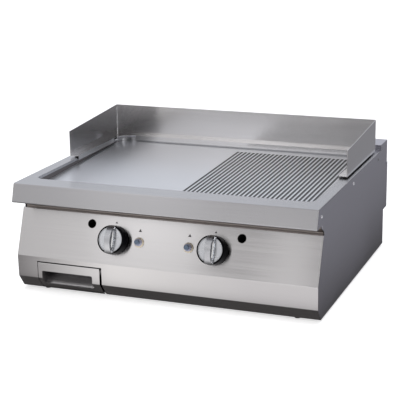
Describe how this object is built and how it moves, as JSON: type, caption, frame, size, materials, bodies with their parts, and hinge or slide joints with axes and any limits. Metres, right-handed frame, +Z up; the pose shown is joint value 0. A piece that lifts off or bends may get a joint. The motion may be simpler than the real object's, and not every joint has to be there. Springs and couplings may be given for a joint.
{
  "type": "flat top griddle",
  "caption": "Counter-top gas griddle with a half smooth, half ribbed plate, lift-off splash guard, turn knobs, igniter buttons and a pull-out grease drawer.",
  "frame": {"origin": "on the surface it stands on, under the middle of its overall box", "axes": "+X to the right as the cook sees it, +Y to the back, +Z up"},
  "size_m": [0.802, 0.7308, 0.377],
  "materials": {
    "worktop_steel": "satin brushed stainless steel",
    "plate_steel": "fine ground steel, polished at the edge",
    "guard_steel": "bright brushed stainless steel",
    "panel_steel": "brushed stainless steel",
    "side_steel": "dull brushed stainless steel",
    "drawer_steel": "brushed stainless steel",
    "inner_steel": "galvanised steel sheet",
    "recess_steel": "dark heat-stained steel",
    "burner_steel": "heat-darkened steel",
    "gas_pipe": "zinc-plated steel tube",
    "tap_brass": "machined brass",
    "knob_black": "gloss black moulded plastic",
    "knob_metal": "satin die-cast metal",
    "ring_cream": "warm grey moulded plastic",
    "button_grey": "blue-grey moulded plastic",
    "dark_trim": "matt black",
    "foot_rubber": "black rubber",
    "white_insulator": "glazed white insulator",
    "screw_steel": "plain stainless steel",
    "mark_ink": "printed dark grey mark"
  },
  "bodies": {
    "casing": {"worktop": "worktop_steel", "recess_strip": "recess_steel", "front_panel": "panel_steel", "back_panel": "side_steel", "base_pan": "inner_steel", "frame_angles": "inner_steel", "feet": "foot_rubber", "foot_screws": "screw_steel", "casing_screws": "screw_steel", "flue_casing": "side_steel", "flue_duct": "inner_steel", "griddle_plate": "plate_steel", "grease_gutter": "plate_steel", "drain_spout": "inner_steel", "burner_box": "inner_steel", "heat_shield": "inner_steel", "burner_brackets": "inner_steel", "gas_manifold": "gas_pipe", "gas_inlet": "tap_brass", "panel_marks": "mark_ink", "drawer_runners": "inner_steel", "side_panel_left": "side_steel", "side_panel_right": "side_steel", "burner_left": "burner_steel", "burner_right": "burner_steel", "valve_left": "tap_brass", "valve_right": "tap_brass", "feed_pipe_left": "gas_pipe", "feed_pipe_right": "gas_pipe", "injector_left": "tap_brass", "injector_right": "tap_brass", "pilot_left": "inner_steel", "pilot_right": "inner_steel", "thermocouple_left": "tap_brass", "thermocouple_right": "tap_brass", "electrode_left": "white_insulator", "electrode_right": "white_insulator", "igniter_ring_left": "ring_cream", "igniter_ring_right": "ring_cream", "igniter_body_left": "dark_trim", "igniter_body_right": "dark_trim", "sight_tube_left": "dark_trim", "sight_tube_right": "dark_trim"},
    "splash_guard": {"splash_guard": "guard_steel", "guard_buffers": "foot_rubber"},
    "grease_drawer": {"drawer_front": "drawer_steel", "handle_pocket": "drawer_steel", "drawer_tray": "drawer_steel"},
    "knob_push_left": {"thrust_collar_left": "screw_steel"},
    "knob_left": {"spindle_left": "tap_brass", "knob_left": "knob_black", "knob_face_left": "knob_metal"},
    "igniter_button_left": {"igniter_button_left": "button_grey"},
    "knob_push_right": {"thrust_collar_right": "screw_steel"},
    "knob_right": {"spindle_right": "tap_brass", "knob_right": "knob_black", "knob_face_right": "knob_metal"},
    "igniter_button_right": {"igniter_button_right": "button_grey"}
  },
  "joints": [
    {"name": "drawer_slide", "type": "slide", "parent": "casing", "child": "grease_drawer", "axis": [0, -1, 0], "range_m": [0, 0.38]},
    {"name": "guard_lift", "type": "slide", "parent": "casing", "child": "splash_guard", "axis": [0, 0, 1], "range_m": [0, 0.12]},
    {"name": "knob_push_left", "type": "slide", "parent": "casing", "child": "knob_push_left", "axis": [0, 0.9352, -0.3541], "range_m": [0, 0.0035], "stiffness_N_per_m": 2500, "springref_m": -0.001},
    {"name": "knob_turn_left", "type": "hinge", "parent": "knob_push_left", "child": "knob_left", "pos_m": [-0.1324, -0.31869, 0.15402], "axis": [0, -0.9352, 0.3541], "range_deg": [0, 270]},
    {"name": "igniter_push_left", "type": "slide", "parent": "casing", "child": "igniter_button_left", "axis": [0, 0.9352, -0.3541], "range_m": [0, 0.006], "stiffness_N_per_m": 600, "springref_m": -0.002},
    {"name": "knob_push_right", "type": "slide", "parent": "casing", "child": "knob_push_right", "axis": [0, 0.9352, -0.3541], "range_m": [0, 0.0035], "stiffness_N_per_m": 2500, "springref_m": -0.001},
    {"name": "knob_turn_right", "type": "hinge", "parent": "knob_push_right", "child": "knob_right", "pos_m": [0.1324, -0.31869, 0.15402], "axis": [0, -0.9352, 0.3541], "range_deg": [0, 270]},
    {"name": "igniter_push_right", "type": "slide", "parent": "casing", "child": "igniter_button_right", "axis": [0, 0.9352, -0.3541], "range_m": [0, 0.006], "stiffness_N_per_m": 600, "springref_m": -0.002}
  ]
}
